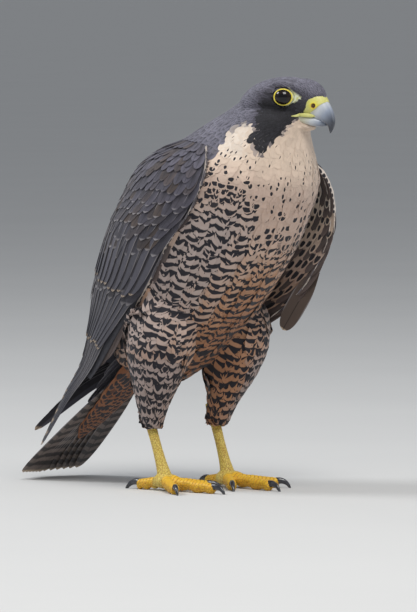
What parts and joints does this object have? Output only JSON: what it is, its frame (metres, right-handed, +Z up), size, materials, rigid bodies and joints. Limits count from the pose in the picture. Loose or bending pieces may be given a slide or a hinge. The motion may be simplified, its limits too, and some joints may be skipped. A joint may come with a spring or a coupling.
{
  "type": "peregrine falcon",
  "caption": "Life-size adult peregrine falcon standing still with folded wings, head turned to its left and tail resting on the floor.",
  "frame": {"origin": "centre of the bounding box, at floor level under the feet", "axes": "the bird's body faces -Y, +X is its left side, +Z is up"},
  "size_m": [0.1572, 0.3164, 0.3319],
  "materials": {
    "slate_plumage": "matt slate blue-grey flight and covert feathers",
    "barred_plumage": "soft pale buff feathers with dark bars and spots",
    "dark_hood": "soft blackish slate feathers",
    "yellow_skin": "scaly bare skin",
    "bill_horn": "smooth blue-grey horn with a dark tip",
    "claw_horn": "smooth slate-black horn",
    "eye_dark": "wet, very dark brown"
  },
  "bodies": {
    "root": {"torso": "barred_plumage", "neck": "barred_plumage", "head": "dark_hood", "cere": "yellow_skin", "bill_upper": "bill_horn", "bill_lower": "bill_horn", "eye_right": "eye_dark", "eye_left": "eye_dark", "wing_right": "slate_plumage", "wing_left": "slate_plumage", "tail": "slate_plumage", "thigh_right": "barred_plumage", "shank_right": "yellow_skin", "toe_middle_right": "yellow_skin", "claw_middle_right": "claw_horn", "toe_inner_right": "yellow_skin", "claw_inner_right": "claw_horn", "toe_outer_right": "yellow_skin", "claw_outer_right": "claw_horn", "toe_hind_right": "yellow_skin", "claw_hind_right": "claw_horn", "thigh_left": "barred_plumage", "shank_left": "yellow_skin", "toe_middle_left": "yellow_skin", "claw_middle_left": "claw_horn", "toe_inner_left": "yellow_skin", "claw_inner_left": "claw_horn", "toe_outer_left": "yellow_skin", "claw_outer_left": "claw_horn", "toe_hind_left": "yellow_skin", "claw_hind_left": "claw_horn"}
  },
  "joints": []
}
